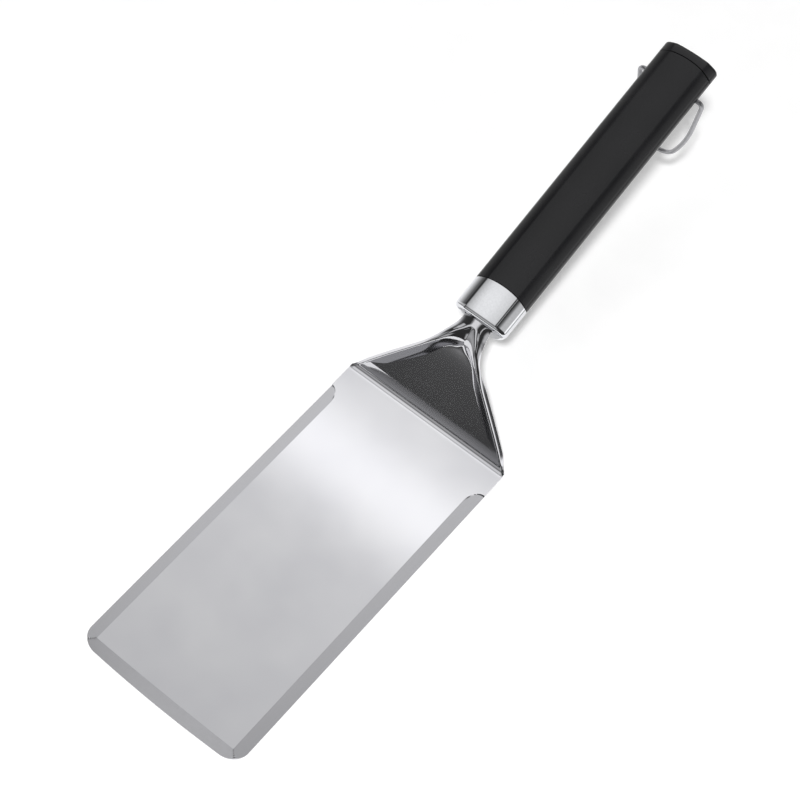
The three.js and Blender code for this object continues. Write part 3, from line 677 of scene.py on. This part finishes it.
def blade_sheet():
    """The sheet starts as a flat block that is cut into strips, and each point is then pressed into place.
    The strips follow the bevels' inner edges, their rounded ends and the rolled flanges."""
    stations = sheet_stations()
    halves = FLAT_STEPS + BAND_STEPS
    deselect()
    bpy.ops.mesh.primitive_grid_add(x_subdivisions=len(stations) - 1, y_subdivisions=2 * halves, size=2)
    piece = begin("blade_sheet")
    pick("FACE", lambda face: True)
    bpy.ops.mesh.extrude_region_move(TRANSFORM_OT_translate={"value": (0, 0, 1)})
    close(piece)
    for vertex in piece.data.vertices:
        station = stations[round((vertex.co.x + 1) / 2 * (len(stations) - 1))]
        across = round(vertex.co.y * halves)
        steps = abs(across)
        point = sheet_point(station, 1 if across > 0 else -1, min(steps / FLAT_STEPS, 1),
                            max((steps - FLAT_STEPS) / BAND_STEPS, 0), 1 if vertex.co.z > 0.5 else 0)
        # The blade's middle is the origin.
        vertex.co = (point + Vector((-BLADE_LENGTH / 2, 0, 0))) * MM
    bpy.ops.object.mode_set(mode="EDIT")
    return close(piece)


# Just behind the side bevels' rear ends.
bevels_from = blade_front - (BLADE_LENGTH - BEVEL_START + 1) * MM


def bevel_crease(edge):
    """The lines where the bevels start: crisp although they are shallow."""
    return edge.calc_face_angle(0) > math.radians(4) and min(v.co.x for v in edge.verts) > bevels_from


def dish_crease(edge):
    """The line round the dish's floor: along its walls, and at its lower end. Its faces look forwards, and
    the floor's own faces lean to neither side."""
    if len(edge.link_faces) != 2 or max(v.co.x for v in edge.verts) > bevels_from:
        return False
    normals = [face.normal for face in edge.link_faces]
    level = [abs(normal.y) < 0.03 for normal in normals]
    if min(normal.x for normal in normals) < 0.5:
        return False
    if all(level):
        return edge.calc_face_angle(0) > math.radians(3.3)
    return any(level) and edge.calc_face_angle(0) > math.radians(6)


def on_a_bevel(face):
    """The ground bevels slope by about ten degrees. The rest of the blade is level."""
    slope = face.normal.angle(Vector((0, 0, 1)))
    return math.radians(6) < slope < math.radians(16) and face.calc_center_median().x > bevels_from


sheet = smooth(blade_sheet(), 30)
bpy.ops.object.mode_set(mode="EDIT")
for crease in (bevel_crease, dish_crease):
    pick("EDGE", crease)
    bpy.ops.mesh.mark_sharp()
sheet.data.materials.append(blade_steel)
sheet.data.materials.append(ground_steel)
pick("FACE", on_a_bevel)
sheet.active_material_index = 1
bpy.ops.object.material_slot_assign()
bpy.ops.object.mode_set(mode="OBJECT")
place(sheet, "tool", ["blade"])


# ---- Handle pieces: bars of one section ----

def section_bar(name, section, rear, front, front_rim=None, rear_rim=None):
    """A bar of the handle's section between two places along the handle. A rim is rounded by a width and in a
    number of steps."""
    corners = [(y, -depth) for y, depth, _ in section]
    corners += [(-y, z) for y, z in reversed(corners)]
    middle = Vector((rear * MM, 0, -SECTION_MIDDLE * MM))
    deselect()
    bpy.ops.mesh.primitive_circle_add(vertices=len(corners), radius=START_RADIUS * MM, fill_type="NGON",
                                      location=middle, rotation=(0, math.pi / 2, 0))
    piece = begin(name)

    def clock(co):
        return math.atan2(co.y, co.z - middle.z) % (2 * math.pi)

    ring = sorted((v.co.copy() for v in bmesh.from_edit_mesh(piece.data).verts), key=clock)
    for at, (y, z) in zip(ring, corners):
        pick("VERT", lambda vertex: (vertex.co - at).length < 1e-5)
        bpy.ops.transform.translate(value=Vector((rear, y, z)) * MM - at)
    # Each corner is rounded to its own radius.
    for i, (y, depth, radius) in enumerate(section):
        before = (0, depth) if i == 0 else section[i - 1][:2]
        after = section[i + 1][:2] if i + 1 < len(section) else (0, depth)
        turn_in = math.atan2(depth - before[1], y - before[0])
        turn_out = math.atan2(after[1] - depth, after[0] - y)
        trim = radius * math.tan((turn_out - turn_in) / 2)
        pick("VERT", lambda v: abs(abs(v.co.y) - y * MM) < 1e-6 and abs(v.co.z + depth * MM) < 1e-6)
        bpy.ops.mesh.bevel(offset=trim * MM, offset_type="OFFSET", affect="VERTICES", segments=8, profile=0.5,
                           clamp_overlap=False)
    pick("FACE", lambda face: True)
    bpy.ops.mesh.extrude_region_move(TRANSFORM_OT_translate={"value": ((front - rear) * MM, 0, 0)})
    bpy.ops.mesh.select_all(action="SELECT")
    bpy.ops.mesh.normals_make_consistent(inside=False)
    for end, rim in ((front, front_rim), (rear, rear_rim)):
        if rim:
            width, steps = rim
            pick("EDGE", lambda edge: all(abs(v.co.x - end * MM) < 1e-6 for v in edge.verts))
            bpy.ops.mesh.bevel(offset=width * MM, offset_type="OFFSET", segments=steps, profile=0.5,
                               clamp_overlap=False)
    return close(piece)


def inner_section(section, wall):
    """The section of the hollow that leaves a wall of one thickness."""
    lines = []
    points = [(0, section[0][1])] + [corner[:2] for corner in section] + [(0, section[-1][1])]
    for (y1, d1), (y2, d2) in zip(points, points[1:]):
        along = Vector((y2 - y1, d2 - d1)).normalized()
        inward = Vector((-along.y, along.x))
        lines.append((Vector((y1, d1)) + wall * inward, along))
    inner = []
    for (at, along), (other, other_along), corner in zip(lines, lines[1:], section):
        reach = (other - at).cross(other_along) / along.cross(other_along)
        place_in = at + reach * along
        inner.append((place_in.x, place_in.y, max(corner[2] - wall, 0.4)))
    return inner


def take_away(piece, cutter):
    """Cuts one piece's shape out of another."""
    modify(piece, "BOOLEAN", object=cutter, operation="DIFFERENCE", solver="EXACT")
    bpy.data.objects.remove(cutter)
    return piece


def bow(piece, end, reach, radius):
    """Bows one end: its rim, in strips either side of the middle, moves forwards as on a circle."""
    bpy.context.view_layer.objects.active = piece
    bpy.ops.object.mode_set(mode="EDIT")
    for y in sorted(side * cut for cut in BOW_CUTS for side in (-1, 1)):
        bpy.ops.mesh.select_all(action="SELECT")
        bpy.ops.mesh.bisect(plane_co=(0, y * MM, 0), plane_no=(0, 1, 0))
    bpy.ops.object.mode_set(mode="OBJECT")
    for vertex in piece.data.vertices:
        if abs(vertex.co.x - end * MM) <= reach * MM:
            vertex.co.x += vertex.co.y ** 2 / (2 * radius * MM)
    return piece


ferrule = section_bar("ferrule_sleeve", SECTION, FERRULE_REAR, FERRULE_FRONT, front_rim=FERRULE_NOSE_RIM)
bow(ferrule, FERRULE_REAR, SEAM_REACH, SEAM_BOW)
take_away(ferrule, section_bar("hollow", inner_section(INNER_LINES, FERRULE_WALL), -HOLLOW_OVERRUN,
                               FERRULE_FRONT - FERRULE_NOSE_WALL))
deselect()
bpy.ops.mesh.primitive_cube_add(size=1, location=(FERRULE_FRONT * MM, 0, -(SLOT_TOP + SLOT_BOTTOM) / 2 * MM),
                                scale=(SLOT_CUT * MM, 2 * SLOT_HALF * MM, (SLOT_BOTTOM - SLOT_TOP) * MM))
take_away(ferrule, bpy.context.active_object)
place(smooth(ferrule, 20), "tool", ["ferrule"], ferrule_chrome, handle_place)

grip = section_bar("grip_shell", SECTION, GRIP_REAR, GRIP_FRONT, front_rim=SEAM_RIM, rear_rim=SEAM_RIM)
bow(grip, GRIP_REAR, SEAM_REACH, SEAM_BOW)
bow(grip, GRIP_FRONT, SEAM_REACH, SEAM_BOW)
take_away(grip, section_bar("hollow", inner_section(INNER_LINES, GRIP_WALL), GRIP_REAR - HOLLOW_OVERRUN,
                            GRIP_FRONT + HOLLOW_OVERRUN))
deselect()
bpy.ops.mesh.primitive_cylinder_add(vertices=32, radius=LOOP_HOLE_RADIUS * MM, depth=DRILL_LENGTH * MM,
                                    location=(-LOOP_SETBACK * MM, 0, -LOOP_DEPTH * MM),
                                    rotation=(math.pi / 2, 0, 0))
take_away(grip, bpy.context.active_object)
place(smooth(grip, 20), "tool", ["grip"], grip_nylon, handle_place)

cap = section_bar("end_cap_shell", SECTION, CAP_REAR, CAP_FRONT, front_rim=SEAM_RIM, rear_rim=CAP_TAIL_RIM)
bow(cap, CAP_FRONT, SEAM_REACH, SEAM_BOW)
bow(cap, CAP_REAR, CAP_REACH, CAP_BOW)
# Its rear face curves forwards lower down.
handle_depth = SECTION[-1][1]
for vertex in cap.data.vertices:
    if vertex.co.x < (CAP_REAR + CAP_REACH) * MM:
        vertex.co.x += CAP_LEAN * MM * (vertex.co.z / MM / handle_depth) ** 2
place(smooth(cap, 20), "tool", ["end_cap"], grip_nylon, handle_place)


# ---- Hanging loop ----

WIRE_RADIUS = 1.25
WIRE_END_ROUNDING = 0.2
LOOP_END = 8.4
LOOP_HALF = 19.3
LOOP_BEND = 2.6
LOOP_LEAN = math.radians(6.6)
LEG_LENGTH = 18.5
SIDE_RADIUS = 78.0
SIDE_END = math.radians(25)


def loop_wire():
    """A wire bent flat: an end in the grip, a tight bend, a leg, the round bow, and the same back."""
    deselect()
    bpy.ops.mesh.primitive_circle_add(vertices=24, radius=WIRE_RADIUS * MM, fill_type="NGON",
                                      location=(0, LOOP_END * MM, 0), rotation=(math.pi / 2, 0, 0))
    piece = begin("hanging_loop_wire")
    bend_y = LOOP_HALF - LOOP_BEND
    leg = LEG_LENGTH * Vector((-math.sin(LOOP_LEAN), -math.cos(LOOP_LEAN)))
    top = Vector((bend_y, -LOOP_BEND)) + LOOP_BEND * Vector((math.cos(LOOP_LEAN), -math.sin(LOOP_LEAN)))
    side_centre = top + leg - SIDE_RADIUS * Vector((math.cos(LOOP_LEAN), -math.sin(LOOP_LEAN)))
    side_foot = side_centre + SIDE_RADIUS * Vector((math.cos(SIDE_END), -math.sin(SIDE_END)))
    foot_radius = side_foot.x / math.cos(SIDE_END)
    foot_z = side_foot.y + foot_radius * math.sin(SIDE_END)

    def run(dy, dz):
        bpy.ops.mesh.extrude_region_move(TRANSFORM_OT_translate={"value": (0, dy * MM, dz * MM)})

    def turn(centre_y, centre_z, angle, steps):
        bpy.ops.mesh.spin(steps=steps, angle=angle, center=(0, centre_y * MM, centre_z * MM), axis=(1, 0, 0))

    pick("FACE", lambda face: True)
    run(bend_y - LOOP_END, 0)
    turn(bend_y, -LOOP_BEND, math.pi / 2 + LOOP_LEAN, 12)
    run(*leg)
    turn(*side_centre, SIDE_END - LOOP_LEAN, 14)
    turn(0, foot_z, math.pi - 2 * SIDE_END, 32)
    turn(-side_centre.x, side_centre.y, SIDE_END - LOOP_LEAN, 14)
    run(leg.x, -leg.y)
    turn(-bend_y, -LOOP_BEND, math.pi / 2 + LOOP_LEAN, 12)
    run(bend_y - LOOP_END, 0)
    pick("EDGE", lambda edge: edge.calc_face_angle(0) > math.radians(60))
    bpy.ops.mesh.bevel(offset=WIRE_END_ROUNDING * MM, offset_type="OFFSET", segments=2, profile=0.5)
    return close(piece)


place(smooth(loop_wire(), 30), "loop", ["hanging_loop"], loop_steel,
      Matrix.Translation(loop_pivot))


# ---- Floor, light and camera ----

# How far the paper is lifted to plain white.
PAPER_LIFT = 0.2


def grey(value):
    return [value, value, value, 1]


def floor_finish():
    """White paper: matt and faintly fibrous, and lifted to plain white where the camera sees it, straight on,
    in a mirror or through glass. The lift lights nothing else."""
    material, tree = new_material("white paper sweep")
    place_on = add_node(tree, "ShaderNodeTexCoord")
    # Clouds of fibre about 17 mm across: real fibres are too fine to show.
    fibres = add_node(tree, "ShaderNodeTexNoise", inputs={"Scale": 60, "Detail": 2},
                      links={"Vector": place_on.outputs["Object"]})
    tone = add_node(tree, "ShaderNodeValToRGB", links={"Fac": fibres.outputs["Fac"]},
                    stops=[(0.3, hex_colour("#F3F3F3")), (0.7, hex_colour("#F6F6F6"))])
    paper = add_node(tree, "ShaderNodeBsdfDiffuse", links={"Color": tone.outputs[0]})
    path = add_node(tree, "ShaderNodeLightPath").outputs
    seen = path["Is Camera Ray"]
    for ray in ("Is Glossy Ray", "Is Transmission Ray"):
        either = add_node(tree, "ShaderNodeMath", {"operation": "MAXIMUM"}, links={0: seen, 1: path[ray]})
        seen = either.outputs[0]
    lift = add_node(tree, "ShaderNodeMath", {"operation": "MULTIPLY"}, {1: PAPER_LIFT}, {0: seen})
    glow = add_node(tree, "ShaderNodeEmission", inputs={"Color": grey(1)},
                    links={"Strength": lift.outputs[0]})
    both = add_node(tree, "ShaderNodeAddShader", links={0: paper.outputs[0], 1: glow.outputs[0]})
    add_node(tree, "ShaderNodeOutputMaterial", links={"Surface": both.outputs[0]})
    return material


deselect()
bpy.ops.mesh.primitive_plane_add(size=6, location=(0, 0, 0))
floor = bpy.context.active_object
floor.name = "floor"
floor.data.materials.append(floor_finish())


def toward(azimuth, elevation, distance):
    azimuth, elevation = math.radians(azimuth), math.radians(elevation)
    return distance * Vector((math.cos(elevation) * math.cos(azimuth),
                              math.cos(elevation) * math.sin(azimuth), math.sin(elevation)))


def lamp(name, position, target, size, radiance):
    """A square soft box: radiance is how bright its face looks, where 1 is white."""
    light = bpy.data.lights.new(name, "AREA")
    light.shape = "RECTANGLE"
    light.size = size
    light.size_y = size
    light.energy = radiance * math.pi * size * size
    holder = bpy.data.objects.new(name, light)
    bpy.context.scene.collection.objects.link(holder)
    holder.location = position
    holder.rotation_euler = (Vector(target) - Vector(position)).to_track_quat("-Z", "Y").to_euler()
    # The metal shows the room's own soft boxes and not this lamp.
    holder.visible_glossy = False


# Key lamp beside the camera, so that the tool's shadow only just shows past its edges.
lamp("key", position=toward(azimuth=29, elevation=62, distance=3.6), target=(0, 0, 0), size=0.26,
     radiance=430)


def studio():
    """The dim room that the metal mirrors. A long soft box hangs over the tool's right side, with its tube
    near the rear end. A square one stands on the left and a dim one in front. A low pale wall runs along the
    right."""
    world = bpy.data.worlds.new("studio")
    bpy.context.scene.world = world
    world.use_nodes = True
    tree = world.node_tree
    tree.nodes.clear()
    direction = add_node(tree, "ShaderNodeTexCoord").outputs["Generated"]
    split = add_node(tree, "ShaderNodeSeparateXYZ", links={0: direction}).outputs
    # The long box hangs a little out of square, so its length follows a line that is turned out of X.
    turned = add_node(tree, "ShaderNodeMath", {"operation": "MULTIPLY_ADD"}, {1: 0.11},
                      {0: split["Y"], 2: split["X"]})
    turned = add_node(tree, "ShaderNodeMath", {"operation": "ADD"}, {1: 0.033}, {0: turned.outputs[0]})
    axes = {"X": split["X"], "Y": split["Y"], "Z": split["Z"], "length": turned.outputs[0]}

    def along(axis, *stops):
        """Greys along one axis of the direction that is looked in. Z starts at 0, the horizon."""
        start = 0 if axis == "Z" else -1
        part = add_node(tree, "ShaderNodeMapRange", inputs={"From Min": start}, links={"Value": axes[axis]})
        places = [((value - start) / (1 - start), grey(tone)) for value, tone in stops]
        return add_node(tree, "ShaderNodeValToRGB", links={"Fac": part.outputs[0]}, stops=places).outputs[0]

    def together(operation, *greys):
        """Adds greys up, multiplies them or keeps the lightest."""
        result = greys[0]
        for other in greys[1:]:
            node = add_node(tree, "ShaderNodeMath", {"operation": operation}, links={0: result, 1: other})
            result = node.outputs[0]
        return result

    # The long box: a strip over the right side in front, and a wide round end above and behind.
    strip = along("Y", (-0.47, 0), (-0.38, 0.35), (-0.325, 1), (-0.27, 1), (-0.2, 0.72), (-0.1, 0))
    off_x = add_node(tree, "ShaderNodeMath", {"operation": "ADD"}, {1: 0.38}, {0: split["X"]}).outputs[0]
    off_y = add_node(tree, "ShaderNodeMath", {"operation": "ADD"}, {1: 0.27}, {0: split["Y"]}).outputs[0]
    span = together("ADD", together("MULTIPLY", off_x, off_x), together("MULTIPLY", off_y, off_y))
    round_end = add_node(tree, "ShaderNodeMapRange", inputs={"From Min": 0.25, "From Max": 0.16},
                         links={"Value": span}).outputs[0]
    round_end = together("MULTIPLY", round_end, along("X", (-0.2, 1), (-0.08, 0)))
    long_box = along("length", (-1, 0.3), (-0.6, 0.7), (-0.43, 0.93), (-0.39, 0.93), (-0.35, 0.8),
                     (-0.311, 0.75), (-0.26, 0.69), (-0.2, 0.62), (-0.11, 0.56), (-0.05, 0.62), (0.01, 0.9),
                     (0.1, 0.96), (0.2, 0.92), (0.46, 0.82), (0.54, 0.25), (0.65, 0.2), (0.8, 0.24), (1, 0.3))
    long_box = together("MULTIPLY", long_box, together("MAXIMUM", strip, round_end))
    tube = together(
        "MULTIPLY",
        along("length", (-0.4, 0), (-0.389, 0.55), (-0.374, 0.62), (-0.36, 0.1), (-0.35, 0)),
        along("Y", (-0.5, 0), (-0.44, 1), (-0.15, 1), (-0.09, 0)))
    # A thin gap in the dark flag beside it lets one bright line through.
    gap = together(
        "MULTIPLY",
        along("X", (-0.2, 0), (-0.1, 0.8), (0.3, 0.8), (0.4, 0)),
        along("Y", (0.15, 0), (0.17, 1), (0.2, 1), (0.22, 0)))
    side_box = together(
        "MULTIPLY",
        along("X", (-0.6, 0), (-0.4, 0.55), (0.18, 0.55), (0.32, 0)),
        along("Y", (0.45, 0), (0.58, 1), (0.74, 1), (0.82, 2.2)))
    front_box = together(
        "MULTIPLY",
        along("X", (0.66, 0), (0.8, 0.45)),
        along("Y", (-0.42, 0), (-0.36, 0.4), (-0.22, 0.4), (-0.12, 1), (0.3, 1), (0.42, 0)),
        along("Z", (0.12, 0), (0.2, 1)))
    # A dim patch in front of the wall.
    wall_front = together(
        "MULTIPLY",
        along("X", (0.12, 0), (0.25, 0.35), (0.7, 0.35), (0.85, 0)),
        along("Y", (-0.65, 1), (-0.5, 0)))
    # All of these dim towards the floor.
    low = along("Z", (0, 0.08), (0.067, 0.12), (0.15, 0.4), (0.231, 0.7), (0.295, 0.93), (0.4, 1))
    boxes = together("MULTIPLY", together("ADD", long_box, tube, gap, side_box, front_box, wall_front), low)
    # The low pale wall gets darker upwards, and towards the front.
    wall = together(
        "MULTIPLY",
        along("Y", (-0.8, 1), (-0.65, 0)),
        along("Z", (0, 1.1), (0.19, 0.9), (0.28, 0.6), (0.37, 0.3), (0.45, 0.12), (0.55, 0.02), (1, 0)),
        along("X", (0.15, 1), (0.4, 0.22)))
    room = along("Z", (0, 0.03), (1, 0.04))
    sky = add_node(tree, "ShaderNodeBackground", inputs={"Color": grey(1)},
                   links={"Strength": together("ADD", boxes, wall, room)})
    add_node(tree, "ShaderNodeOutputWorld", links={"Surface": sky.outputs[0]})


studio()

# The camera looks down at the tool from its front left and leans a little to one side.
CAMERA_LENS = 94.8
CAMERA_PLACE = (0.3462, 0.3020, 0.9248)
CAMERA_TURN = (30.66, -2.27, 129.39)

camera = bpy.data.cameras.new("camera")
camera.lens = CAMERA_LENS
camera.sensor_width = 36
camera_holder = bpy.data.objects.new("camera", camera)
bpy.context.scene.collection.objects.link(camera_holder)
camera_holder.location = CAMERA_PLACE
camera_holder.rotation_euler = [math.radians(angle) for angle in CAMERA_TURN]
bpy.context.scene.camera = camera_holder
bpy.context.scene.view_settings.view_transform = "Standard"
